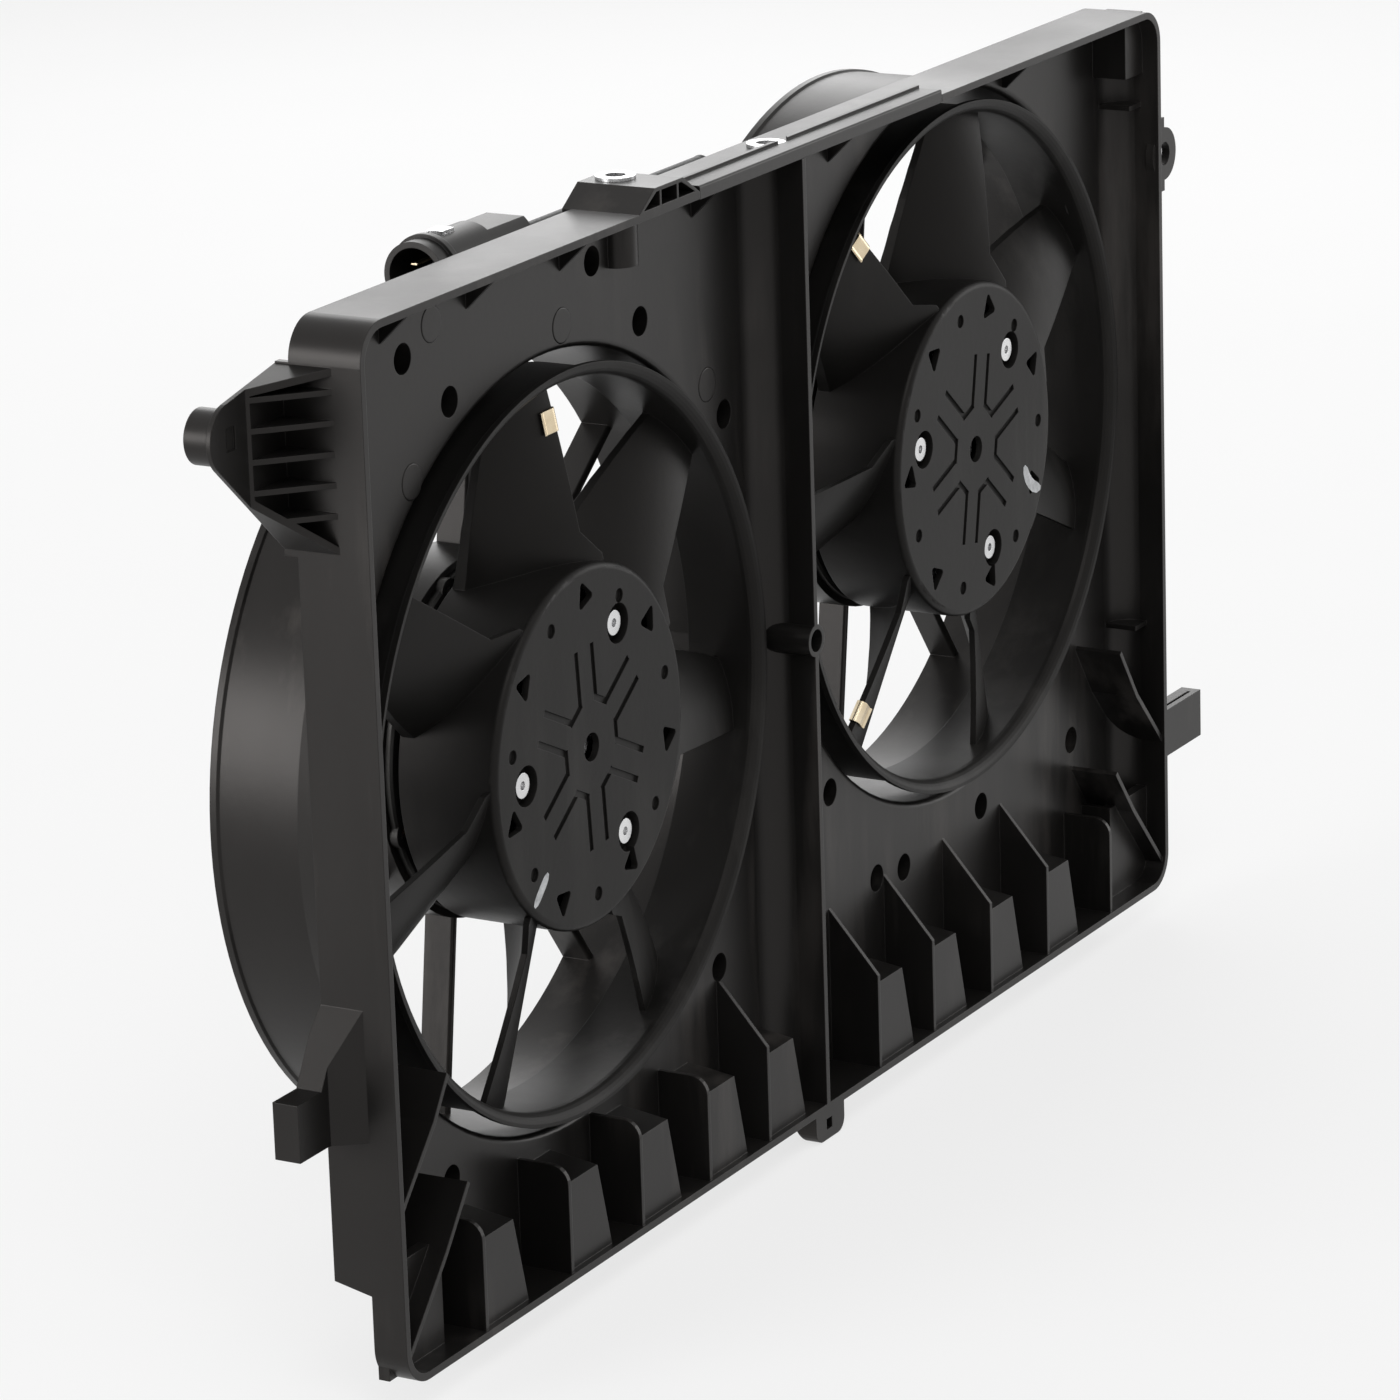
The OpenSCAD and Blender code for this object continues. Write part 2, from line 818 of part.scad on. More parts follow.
// Point of the blade's middle surface as width and depth
function blade_mid(u, r) =
    let (v = blade_rise(u, r))
    [u * cos(blade_pitch) - v * sin(blade_pitch), blade_mid_y + u * sin(blade_pitch) + v * cos(blade_pitch)];

// Bar whose side passes through the blade's surface, offset by half the thickness
module bow_bar(grow) {
    translate([blade_mid_r, blade_mid_y, 0])
        rotate([-blade_pitch, 0, 0])
            translate([0, bow_h, 0])
                rotate([0, -blade_skew, blade_lean])
                    rotate([0, 90, 0])
                        cylinder(r = blade_bow_r + grow, h = tip_r - root_r + 60, center = true);
}

// Bowed plate that lies along X, cut to the outline of the blade
module blade() {
    intersection() {
        difference() {
            plate(0, hub_y + hub_len)
                blade_outline();
            rod(root_r, -1, 101);
        }
        difference() {
            bow_bar(blade_t / 2);
            bow_bar(-blade_t / 2);
        }
    }
}

pocket_floor = hub_y + 5.2;
screw_r = 3;
screw_head_r = 5.25;
screw_head_h = 3.5;
boss_r = pocket_r + 2.2;

// Grooves of the hub face, one V of two arms joined by a short bridge
groove_in_r = 20;
groove_out_r = 43.5;

module hub_groove() {
    start = (groove_in_r - groove_gap * sin(30)) / cos(30);
    half = start * sin(30) - groove_gap * cos(30) + groove_w / 2;
    for (side = [-1, 1])
        rotate(side * 30)
            translate([start, -side * groove_gap - groove_w / 2])
                square([sqrt(pow(groove_out_r, 2) - pow(groove_gap, 2)) - start, groove_w]);
    translate([groove_in_r - groove_w / 2, -half])
        square([groove_w, 2 * half]);
}

// Rounded triangular vent
module hub_vent() {
    reach = 4.7;
    round_r = 1.4;
    rotate(20)
        polygon([
            for (a = [0, 120, 240])
                for (t = [-60:40:60])
                    [reach * cos(a) + round_r * cos(a + t), reach * sin(a) + round_r * sin(a + t)]
        ]);
}

// Hub, blades and tip ring, moulded in one piece
module fan_wheel(turn) {
    color(black) {
        difference() {
            union() {
                spin()
                    difference() {
                        union() {
                            translate([0, hub_y])
                                square([hub_r - hub_t, hub_len]);
                            translate([0, hub_y + hub_t])
                                square([hub_r, hub_len - hub_t]);
                            translate([hub_r - hub_t, hub_y + hub_t])
                                circle(hub_t, $fn = 48);
                        }
                        translate([-eps, hub_y + hub_t])
                            square([hub_r - hub_t, hub_len]);
                        translate([-50, hub_y - 1])
                            square([50, hub_len + 2]);
                    }
                // Bosses under the screw pockets
                for (i = [0:2])
                    around(screw_circle_r, turn + screw_turn + i * 120)
                        rod(boss_r, hub_y + 1, bell_y);
                // Tip ring with its flared lip
                spin()
                    polygon([
                        [ring_r, ring_y + ring_len],
                        for (a = [0:15:90])
                            [ring_r + lip_r - lip_r * cos(a), ring_y + lip_r - lip_r * sin(a)],
                        for (a = [90:-15:0])
                            [ring_r + lip_r - lip_in_r * cos(a), ring_y + lip_r - lip_in_r * sin(a)],
                        [ring_r + ring_t, ring_y + ring_len]
                    ]);
                for (a = blade_angles)
                    rotate([0, -turn - a, 0])
                        blade();
            }
            // Screw pockets
            for (i = [0:2])
                around(screw_circle_r, turn + screw_turn + i * 120) {
                    rod(pocket_r, hub_y - 1, pocket_floor);
                    rod(screw_r + fit_gap, hub_y, bell_y + 1);
                }
            // Centre hole
            rod(6, hub_y - 1, hub_y + hub_t + 1);
            // Grooves, vents and dimples
            plate(hub_y - 1, hub_y + 1.2)
                for (i = [0:5])
                    rotate(turn + groove_turn + i * 60)
                        hub_groove();
            for (i = [0:blade_count - 1]) {
                plate(hub_y - 1, hub_y + hub_t + 1)
                    rotate(turn + vent_turn + i * 360 / blade_count)
                        translate([hub_r - 12, 0])
                            hub_vent();
                around(hub_r - 13, turn + dimple_turn + i * 360 / blade_count)
                    rod(3, hub_y - 1, hub_y + 1.5);
            }
        }
    }
}

module fan_screw_set(turn) {
    color(steel)
        for (i = [0:2])
            around(screw_circle_r, turn + screw_turn + i * 120)
                difference() {
                    union() {
                        rod(screw_head_r, pocket_floor - screw_head_h, pocket_floor);
                        rod(screw_r, pocket_floor - 1, bell_y + bell_t + 3);
                    }
                    rod(1.8, pocket_floor - screw_head_h - 1, pocket_floor - 1);
                }
}

magnet_r = bell_r - bell_t;
stator_r = magnet_r - magnet_t - air_gap;
stator_y = bell_y + 15;
stator_len = 15;
bearing_tube_r = bearing_r + 4;
front_bearing_y = bell_y + 10.5;
rear_bearing_y = base_y - 1;
bearing_fit = 0.03;

// Steel cup that carries the magnets and turns with the fan
module rotor_bell(turn) {
    color(steel)
    difference() {
        union() {
            spin()
                polygon([
                    [0, bell_y], [bell_r - 2, bell_y], [bell_r, bell_y + 2], [bell_r, bell_y + bell_len],
                    [bell_r - bell_t, bell_y + bell_len], [bell_r - bell_t, bell_y + bell_t + 1],
                    [bell_r - bell_t - 1, bell_y + bell_t], [0, bell_y + bell_t]
                ]);
            rod(shaft_r + 5, bell_y, bell_y + 8);
            for (i = [0:2])
                around(screw_circle_r, turn + screw_turn + i * 120)
                    rod(screw_r + 2, bell_y, bell_y + bell_t + 3);
        }
        rod(shaft_r + press_gap, bell_y - 1, bell_y + 10);
        for (i = [0:2])
            around(screw_circle_r, turn + screw_turn + i * 120)
                rod(screw_r + press_gap, bell_y - 1, bell_y + bell_t + 4);
        // Cooling holes
        for (i = [0:5])
            around(33, turn + i * 60)
                rod(7, bell_y - 1, bell_y + bell_t + 1);
    }
}

module magnet_ring() {
    color(graphite)
        spin()
            translate([magnet_r - magnet_t, stator_y - 2])
                square([magnet_t - press_gap, stator_len + 4]);
}

module shaft() {
    color(steel)
        spin()
            polygon([
                [0, hub_y + 4], [shaft_r - 0.6, hub_y + 4], [shaft_r, hub_y + 4.6],
                [shaft_r, base_y + base_t + 5.4], [shaft_r - 0.6, base_y + base_t + 6],
                [0, base_y + base_t + 6]
            ]);
}

module bearings() {
    color(steel)
        for (y = [front_bearing_y, rear_bearing_y])
            spin()
                difference() {
                    translate([shaft_r + run_clear, y])
                        square([bearing_r - shaft_r - run_clear, bearing_w]);
                    for (z = [0, bearing_w])
                        translate([(bearing_r + shaft_r) / 2, y + z])
                            circle(1.4, $fn = 24);
                }
}

motor_screw_r = carrier_r + 4.2;
motor_screw_size = 2.5;
motor_screw_hole = motor_screw_size + fit_gap;
lead_r = 45;

// Aluminium base with the bearing tube
module motor_base() {
    color(aluminium)
    difference() {
        union() {
            spin()
                polygon([
                    [0, base_y], [base_r - 1, base_y], [base_r, base_y + 1],
                    [base_r, base_y + base_t], [0, base_y + base_t]
                ]);
            rod(bearing_tube_r, front_bearing_y - 1.5, base_y + base_t + 4);
            // Lugs around the screws
            for (i = [0:3])
                around(motor_screw_r, 20 + i * 90)
                    rod(motor_screw_size + 3.5, base_y, base_y + base_t);
            // Cooling ribs on the front face
            for (i = [0:11])
                around(0, i * 30)
                    translate([bearing_tube_r - 1, base_y - 3, -1])
                        cube([stator_r - bearing_tube_r - 20, 4, 2]);
        }
        rod(bearing_r + bearing_fit, front_bearing_y, front_bearing_y + bearing_w);
        rod(bearing_r + bearing_fit, rear_bearing_y, base_y + base_t + 5);
        rod(shaft_r + 2.5, front_bearing_y - 3, base_y + base_t + 6);
        rod(bearing_r + bearing_fit, front_bearing_y - 2, front_bearing_y + 1);
        for (i = [0:3])
            around(motor_screw_r, 20 + i * 90)
                rod(motor_screw_size + press_gap, base_y - 1, base_y + base_t + 1);
        // Passage for the winding leads
        around(40, 200)
            rod(5, base_y - 4, base_y + base_t + 1);
    }
}

// Laminated core with its teeth
yoke_r = bearing_tube_r + 12;
coil_w = 1.7 * (yoke_r + 1) * tan(180 / tooth_count);
tooth_w = 0.55 * coil_w;

module stator_core() {
    color(steel)
        plate(stator_y, stator_y + stator_len)
            difference() {
                union() {
                    circle(yoke_r);
                    for (i = [0:tooth_count - 1])
                        rotate(i * 360 / tooth_count)
                            translate([yoke_r - 1, -tooth_w / 2])
                                square([stator_r - yoke_r, tooth_w]);
                    // Pole shoes
                    difference() {
                        circle(stator_r);
                        circle(stator_r - 4);
                        for (i = [0:tooth_count - 1])
                            rotate((i + 0.5) * 360 / tooth_count)
                                translate([0, -1.4])
                                    square([stator_r + 1, 2.8]);
                    }
                }
                circle(bearing_tube_r + press_gap);
            }
}

// Copper coils wound on the teeth
module stator_windings() {
    wrap = 3;
    core_w = tooth_w + 2 * press_gap;
    color(copper)
        for (i = [0:tooth_count - 1])
            around(0, i * 360 / tooth_count)
                difference() {
                    translate([yoke_r + 1, stator_y - wrap, -coil_w / 2])
                        cube([stator_r - yoke_r - 7, stator_len + 2 * wrap, coil_w]);
                    translate([yoke_r, stator_y - press_gap, -core_w / 2])
                        cube([stator_r - yoke_r, stator_len + 2 * press_gap, core_w]);
                }
}

// Board with the drive electronics, behind the base
module driver_board() {
    board_y = base_y + base_t + 5;
    color(board_green)
        difference() {
            union() {
                rod(cover_r - 7, board_y, board_y + 1.6);
                for (i = [0:5])
                    around(34, 20 + i * 60)
                        translate([-5, board_y - 3, -5])
                            cube([10, 4, 10]);
                for (i = [0:2])
                    around(38, 80 + i * 30)
                        rod(4, board_y + 1, board_y + cover_len - 9);
                for (i = [0:2])
                    around(cover_r - 11, 90 + i * 120)
                        rod(3, base_y + base_t, board_y + 1);
            }
            rod(bearing_tube_r + 1, board_y - 5, board_y + 5);
        }
}

// Closed cover behind the motor, with ribs for cooling
module motor_cover(lead_angle) {
    y0 = base_y + base_t;
    color(aluminium)
    difference() {
        union() {
            rod(cover_r, y0, y0 + cover_len - 3);
            spin()
                polygon([
                    [0, y0 + cover_len - 4], [cover_r, y0 + cover_len - 4],
                    [cover_r, y0 + cover_len - 3], [cover_r - 3, y0 + cover_len], [0, y0 + cover_len]
                ]);
            for (i = [-3:3])
                translate([-0.9 + i * 10, y0 + cover_len - 1, -sqrt(pow(cover_r - 8, 2) - pow(i * 10, 2))])
                    cube([1.8, 4, 2 * sqrt(pow(cover_r - 8, 2) - pow(i * 10, 2))]);
            // Gland of the lead
            around(lead_r, lead_angle)
                rod(conduit_r + 1.8, y0 + cover_len - 1, y0 + cover_len + 4);
        }
        rod(cover_r - 3, y0 - 1, y0 + cover_len - 3);
        around(lead_r, lead_angle)
            rod(conduit_r + press_gap, y0 + cover_len - 1, y0 + cover_len + 5);
    }
}

module motor_screws() {
    color(steel)
        for (i = [0:3])
            around(motor_screw_r, 20 + i * 90)
                difference() {
                    union() {
                        rod(motor_screw_size, base_y + 0.5, barrel_end_y + 1);
                        rod(4.5, barrel_end_y, barrel_end_y + 3.2);
                    }
                    rod(1.5, barrel_end_y + 1.4, barrel_end_y + 4);
                }
}

// Spring clip that balances a fan wheel, on the front edge of a blade
clip_len = 12;
clip_reach = 11;
clip_wall = 0.8;
clip_r = ring_r - 17;

module balance_clip(turn, r) {
    u1 = (front_edge(r) + blade_rise(front_edge(r), r) * sin(blade_pitch)) / cos(blade_pitch);
    u2 = (front_edge(r) + blade_rise(u1, r) * sin(blade_pitch)) / cos(blade_pitch);
    uc = u2 - 1 + clip_reach / 2;
    m = blade_mid(uc, r);
    tilt = blade_pitch + atan((blade_rise(uc + 1, r) - blade_rise(uc - 1, r)) / 2);
    roll = atan((blade_rise(uc, r + 1) - blade_rise(uc, r - 1)) / 2);
    gap = blade_t + 0.9;
    color(brass)
        rotate([0, -turn, 0])
            translate([r, m[1], m[0]])
                rotate([-tilt, 0, 0])
                    rotate([0, 0, roll])
                    translate([-clip_len / 2, 0, 0])
                    difference() {
                        translate([0, -gap / 2 - clip_wall, -clip_reach / 2 - clip_wall])
                            cube([clip_len, gap + 2 * clip_wall, clip_reach + clip_wall]);
                        translate([-1, -gap / 2, -clip_reach / 2])
                            cube([clip_len + 2, gap, clip_reach + 2]);
                    }
}

// Plug of the wiring, on the rail behind the panel
module connector_shell() {
    color(graphite)
    difference() {
        union() {
            translate([plug_x[0], plug_y, plug_z])
                rotate([0, 90, 0])
                    cylinder(r = plug_r, h = plug_len);
            translate([plug_x[0], plug_y - plug_r, plug_z - 6])
                cube([plug_len - 12, plug_r, 12]);
            // Collar at the mouth
            translate([plug_x[0] + 8, plug_y, plug_z])
                rotate([0, 90, 0])
                    cylinder(r = plug_r + 1.5, h = 3);
        }
        // Mouth
        translate([plug_x[0] - 1, plug_y, plug_z])
            rotate([0, 90, 0])
                cylinder(r = plug_r - 2.5, h = plug_len * 0.45 + 1);
        // Flat on the top, towards the cable end
        translate([plug_x[0] + plug_len * 0.6, plug_y - plug_r, plug_z + plug_r - 3])
            cube([plug_len, 2 * plug_r, 10]);
        // Latch window
        translate([plug_x[0] + 16, plug_y - 4, plug_z + plug_r - 5])
            cube([9, 8, 10]);
        // Cable entry
        translate([plug_x[1] - 8, plug_y, plug_z])
            rotate([0, 90, 0])
                cylinder(r = conduit_r + 0.1, h = 10);
        // Seats of the terminals
        for (y = [-5, 5], z = [-3, 3])
            translate([plug_x[0] + plug_len * 0.45 - 2, plug_y + y - 1.5, plug_z + z - 0.5])
                cube([8, 3, 1]);
    }
}

module connector_terminals() {
    color(brass)
        for (y = [-5, 5], z = [-3, 3])
            translate([plug_x[0] + 8, plug_y + y - 1.4, plug_z + z - 0.4])
                cube([plug_len * 0.45 - 8 + 5, 2.8, 0.8]);
}

module connector_lock() {
    color(steel)
        difference() {
            translate([plug_x[0] + 16.3, plug_y - 3.7, plug_z + plug_r - 2.3])
                cube([8.4, 7.4, 3.5]);
            translate([plug_x[0] + 18, plug_y - 4, plug_z + plug_r - 0.2])
                cube([1, 8, 3]);
        }
}

// Ribbed conduit that holds the wires, from the plug to the two motors
left_lead = -98 + round(arm_count / 4) * 360 / arm_count;
right_lead = -98 + round(arm_count * 3 / 4) * 360 / arm_count;
trunk_x = 0;
lead_y = barrel_end_y + conduit_r + 0.3;
left_z = left_axis[2] + (trunk_x - left_axis[0]) * tan(left_lead);
right_z = right_axis[2] + (trunk_x - right_axis[0]) * tan(right_lead);
trunk_top = [trunk_x, plug_y, plug_z];
trunk_turn = [trunk_x, plug_y, max(left_z, right_z) + 14];
trunk_back = [trunk_x, lead_y, max(left_z, right_z)];
trunk_end = [trunk_x, lead_y, min(left_z, right_z)];

// Round bar with ball ends between two points
module link(a, b, r) {
    d = b - a;
    translate(a)
        rotate([0, acos(d[2] / norm(d)), atan2(d[1], d[0])])
            cylinder(r = r, h = norm(d), $fn = 48);
    translate(a)
        sphere(r + 0.2, $fn = 48);
}

// Run of a lead from the trunk to a motor
module lead_run(axis, angle, z) {
    gland = [axis[0] + lead_r * cos(angle), lead_y, axis[2] + lead_r * sin(angle)];
    link([trunk_x, lead_y, z], gland, conduit_r);
    link(gland, [gland[0], base_y + base_t + cover_len, gland[2]], conduit_r);
}

module wiring_conduit() {
    color(black) {
        translate([plug_x[1] - 8, plug_y, plug_z])
            rotate([0, 90, 0])
                cylinder(r = conduit_r, h = trunk_x - plug_x[1] + 8, $fn = 48);
        link(trunk_top, trunk_turn, conduit_r);
        link(trunk_turn, trunk_back, conduit_r);
        link(trunk_back, trunk_end, conduit_r);
        lead_run(left_axis, left_lead, left_z);
        lead_run(right_axis, right_lead, right_z);
    }
}

// Saddle clips that hold the conduit on the arms and behind the panel
clip_w = 8;

// Clip around a conduit that lies along X at the given depth, standing on the face at y0
module saddle(y0, y) {
    difference() {
        translate([-clip_w / 2, y0, -conduit_r - 1.8])
            cube([clip_w, y - y0 + conduit_r + 1.2, 2 * conduit_r + 3.6]);
        translate([-clip_w, y, 0])
            rotate([0, 90, 0])
                cylinder(r = conduit_r + 0.1, h = 2 * clip_w);
        translate([-clip_w, y + conduit_r * 0.55, -conduit_r * 0.7])
            cube([2 * clip_w, conduit_r + 2, 1.4 * conduit_r]);
    }
}

module conduit_clips() {
    color(graphite) {
        for (part = [0.25, 0.67]) {
            r = carrier_r + carrier_w + part * (barrel_r - carrier_r - carrier_w);
            translate(left_axis)
                around(r, left_lead)
                    saddle(barrel_end_y, lead_y);
            translate(right_axis)
                around(r, right_lead)
                    saddle(barrel_end_y, lead_y);
        }
        translate([plug_x[1] * 0.375, 0, plug_z])
            saddle(panel_back, plug_y);
        translate([trunk_x, 0, (trunk_top[2] + trunk_turn[2]) / 2])
            rotate([0, -90, 0])
                saddle(panel_back, plug_y);
    }
}

shroud_tray();
fan_barrel(left_axis);  // barrel_left
fan_barrel(right_axis);  // barrel_right
top_seal_strip();
bolt_sleeves();
connector_shell();
connector_terminals();
connector_lock();
wiring_conduit();
conduit_clips();
translate(left_axis) motor_base();  // motor_base_left
translate(left_axis) stator_core();  // stator_core_left
translate(left_axis) stator_windings();  // stator_windings_left
translate(left_axis) bearings();  // bearings_left
translate(left_axis) driver_board();  // driver_board_left
translate(left_axis) motor_cover(left_lead);  // motor_cover_left
translate(left_axis) motor_screws();  // motor_screws_left
translate(left_axis) fan_wheel(left_turn);  // fan_left
translate(left_axis) rotor_bell(left_turn);  // rotor_bell_left
translate(left_axis) magnet_ring();  // magnet_ring_left
translate(left_axis) shaft();  // shaft_left
translate(left_axis) fan_screw_set(left_turn);  // fan_screws_left
translate(right_axis) motor_base();  // motor_base_right
translate(right_axis) stator_core();  // stator_core_right
translate(right_axis) stator_windings();  // stator_windings_right
translate(right_axis) bearings();  // bearings_right
translate(right_axis) driver_board();  // driver_board_right
translate(right_axis) motor_cover(right_lead);  // motor_cover_right
translate(right_axis) motor_screws();  // motor_screws_right
translate(right_axis) fan_wheel(right_turn);  // fan_right
translate(right_axis) rotor_bell(right_turn);  // rotor_bell_right
translate(right_axis) magnet_ring();  // magnet_ring_right
translate(right_axis) shaft();  // shaft_right
translate(right_axis) fan_screw_set(right_turn);  // fan_screws_right
translate(left_axis) balance_clip(left_turn + blade_turn, clip_r);  // balance_clip_left
translate(right_axis) {  // balance_clips_right
    balance_clip(right_turn + blade_turn + 360 / blade_count, clip_r);
    balance_clip(right_turn + blade_turn + 360 / blade_count * 3, clip_r);
}
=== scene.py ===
import json
import math

import bmesh
import bpy
import numpy as np
from mathutils import Matrix, Vector


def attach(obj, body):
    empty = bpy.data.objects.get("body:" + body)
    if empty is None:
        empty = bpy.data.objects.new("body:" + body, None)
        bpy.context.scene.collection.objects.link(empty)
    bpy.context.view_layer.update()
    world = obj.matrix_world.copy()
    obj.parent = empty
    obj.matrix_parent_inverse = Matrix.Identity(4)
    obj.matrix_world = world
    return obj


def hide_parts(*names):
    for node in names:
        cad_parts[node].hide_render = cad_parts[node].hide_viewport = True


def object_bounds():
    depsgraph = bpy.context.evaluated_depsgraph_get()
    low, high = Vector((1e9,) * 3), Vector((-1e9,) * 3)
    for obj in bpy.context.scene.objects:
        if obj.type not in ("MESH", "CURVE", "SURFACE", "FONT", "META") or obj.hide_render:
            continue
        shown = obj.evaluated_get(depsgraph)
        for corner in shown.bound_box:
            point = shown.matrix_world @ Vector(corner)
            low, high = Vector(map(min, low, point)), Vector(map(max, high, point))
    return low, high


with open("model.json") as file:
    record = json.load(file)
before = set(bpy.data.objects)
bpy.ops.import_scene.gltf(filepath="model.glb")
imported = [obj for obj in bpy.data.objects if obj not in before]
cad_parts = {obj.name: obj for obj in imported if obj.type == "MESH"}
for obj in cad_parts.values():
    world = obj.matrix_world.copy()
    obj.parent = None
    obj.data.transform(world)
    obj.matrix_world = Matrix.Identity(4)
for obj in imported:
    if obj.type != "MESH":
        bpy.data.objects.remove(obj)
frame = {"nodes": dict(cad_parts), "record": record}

cad_low, cad_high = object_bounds()
scene = bpy.context.scene
nodes = frame["nodes"]

# Lengths are in metres and colours are linear, unless a comment says otherwise.
WHITE = (1.0, 1.0, 1.0, 1.0)


# Camera: lens and sensor in millimetres
CAMERA_PLACE = Vector((-2.2693, -1.2371, 0.7414))
CAMERA_RIGHT = Vector((0.4876, -0.8725, -0.0308))
CAMERA_UP = Vector((0.2627, 0.1129, 0.9582))
CAMERA_LENS = 161.3
CAMERA_SENSOR = 36.0
CAMERA_NEAR = 0.05
CAMERA_FAR = 50.0


def make_camera():
    data = bpy.data.cameras.new("camera")
    data.lens = CAMERA_LENS
    data.sensor_width = CAMERA_SENSOR
    data.sensor_fit = "HORIZONTAL"
    data.clip_start = CAMERA_NEAR
    data.clip_end = CAMERA_FAR
    cam = bpy.data.objects.new("camera", data)
    right = CAMERA_RIGHT.normalized()
    back = right.cross(CAMERA_UP).normalized()
    up = back.cross(right).normalized()
    turn = Matrix((right, up, back)).transposed()
    cam.matrix_world = Matrix.Translation(CAMERA_PLACE) @ turn.to_4x4()
    scene.collection.objects.link(cam)
    scene.camera = cam


# Materials: a noise's scale is in features a metre, and its values are used from NOISE_LOW to NOISE_HIGH
WARM_SHEEN = (1.0, 0.95, 0.92, 1.0)
NOISE_LOW, NOISE_HIGH = 0.3, 0.7
BEVEL_SAMPLES = 6
PLASTIC_EDGE = 0.0005
METAL_EDGE = 0.0003
TAPE_EDGE = 0.0004
TAPE_STEP = 0.0004


def new_material(name):
    mat = bpy.data.materials.new(name)
    mat.use_nodes = True
    tree = mat.node_tree
    shader = tree.nodes["Principled BSDF"]
    place = tree.nodes.new("ShaderNodeTexCoord")
    return mat, tree, shader, place.outputs["Object"]


def stretched(tree, vector, scale):
    m = tree.nodes.new("ShaderNodeMapping")
    m.inputs["Scale"].default_value = scale
    tree.links.new(vector, m.inputs["Vector"])
    return m.outputs["Vector"]


def noise(tree, vector, scale, detail=4.0, rough=0.55):
    n = tree.nodes.new("ShaderNodeTexNoise")
    n.inputs["Scale"].default_value = scale
    n.inputs["Detail"].default_value = detail
    n.inputs["Roughness"].default_value = rough
    tree.links.new(vector, n.inputs["Vector"])
    return n.outputs["Fac"]


def spread(tree, value, low, high, from_low=NOISE_LOW, from_high=NOISE_HIGH):
    m = tree.nodes.new("ShaderNodeMapRange")
    m.inputs["From Min"].default_value = from_low
    m.inputs["From Max"].default_value = from_high
    m.inputs["To Min"].default_value = low
    m.inputs["To Max"].default_value = high
    tree.links.new(value, m.inputs["Value"])
    return m.outputs["Result"]


def tint(tree, value, dark, light):
    r = tree.nodes.new("ShaderNodeValToRGB")
    r.color_ramp.elements[0].position = NOISE_LOW
    r.color_ramp.elements[0].color = (*dark, 1.0)
    r.color_ramp.elements[1].position = NOISE_HIGH
    r.color_ramp.elements[1].color = (*light, 1.0)
    tree.links.new(value, r.inputs["Fac"])
    return r.outputs["Color"]


def bump(tree, shader, heights, edge=0.0):
    """Chains bumps given as (value, distance), on rounded edges where edge is above 0."""
    last = None
    if edge > 0:
        b = tree.nodes.new("ShaderNodeBevel")
        b.samples = BEVEL_SAMPLES
        b.inputs["Radius"].default_value = edge
        last = b.outputs["Normal"]
    for value, distance in heights:
        b = tree.nodes.new("ShaderNodeBump")
        b.inputs["Strength"].default_value = 1.0
        b.inputs["Distance"].default_value = distance
        tree.links.new(value, b.inputs["Height"])
        if last is not None:
            tree.links.new(last, b.inputs["Normal"])
        last = b.outputs["Normal"]
    tree.links.new(last, shader.inputs["Normal"])


def scuffed(tree, place, colour, mark):
    """Lays pale rubbed streaks, mostly upright, over a colour."""
    streak = noise(tree, stretched(tree, place, (1.0, 1.0, 0.12)), scale=34.0, detail=6.0, rough=0.62)
    patch = noise(tree, place, scale=6.0, detail=3.0)
    streak_share = spread(tree, streak, 0.0, 1.0, from_low=0.50, from_high=0.64)
    patch_share = spread(tree, patch, 0.0, 1.0, from_low=0.46, from_high=0.60)
    amount = tree.nodes.new("ShaderNodeMath")
    amount.operation = "MULTIPLY"
    tree.links.new(streak_share, amount.inputs[0])
    tree.links.new(patch_share, amount.inputs[1])
    mix = tree.nodes.new("ShaderNodeMix")
    mix.data_type = "RGBA"
    tree.links.new(amount.outputs[0], mix.inputs["Factor"])
    tree.links.new(colour, mix.inputs["A"])
    mix.inputs["B"].default_value = (*mark, 1.0)
    return mix.outputs["Result"]


def plastic(name, dark, light, rough, grain=0.00002, level=0.3, flow=(1.0, 1.0, 1.0), mark=None):
    """Moulded plastic: cloudy tone along the melt's flow, fine grain, a soft edge and pale scuffs."""
    mat, tree, shader, place = new_material(name)
    cloud = noise(tree, stretched(tree, place, flow), scale=9.0, detail=5.0)
    fine = noise(tree, place, scale=2600.0, detail=2.0)
    medium = noise(tree, place, scale=320.0, detail=3.0)
    colour = tint(tree, cloud, dark, light)
    if mark:
        colour = scuffed(tree, place, colour, mark)
    tree.links.new(colour, shader.inputs["Base Color"])
    tree.links.new(spread(tree, cloud, rough - 0.05, rough + 0.06), shader.inputs["Roughness"])
    shader.inputs["Specular IOR Level"].default_value = level
    shader.inputs["Specular Tint"].default_value = WARM_SHEEN
    bump(tree, shader, [(medium, grain * 1.5), (fine, grain)], PLASTIC_EDGE)
    return mat


def metal(name, dark, light, rough, stretch=(1.0, 1.0, 1.0)):
    """Bare metal: cloudy tone and a fine grain, drawn out along one axis by stretch."""
    mat, tree, shader, place = new_material(name)
    place = stretched(tree, place, stretch)
    cloud = noise(tree, place, scale=60.0, detail=5.0)
    fine = noise(tree, place, scale=1500.0, detail=3.0)
    tree.links.new(tint(tree, cloud, dark, light), shader.inputs["Base Color"])
    shader.inputs["Metallic"].default_value = 1.0
    tree.links.new(spread(tree, fine, rough - 0.05, rough + 0.08), shader.inputs["Roughness"])
    bump(tree, shader, [(fine, 0.00001)], METAL_EDGE)
    return mat


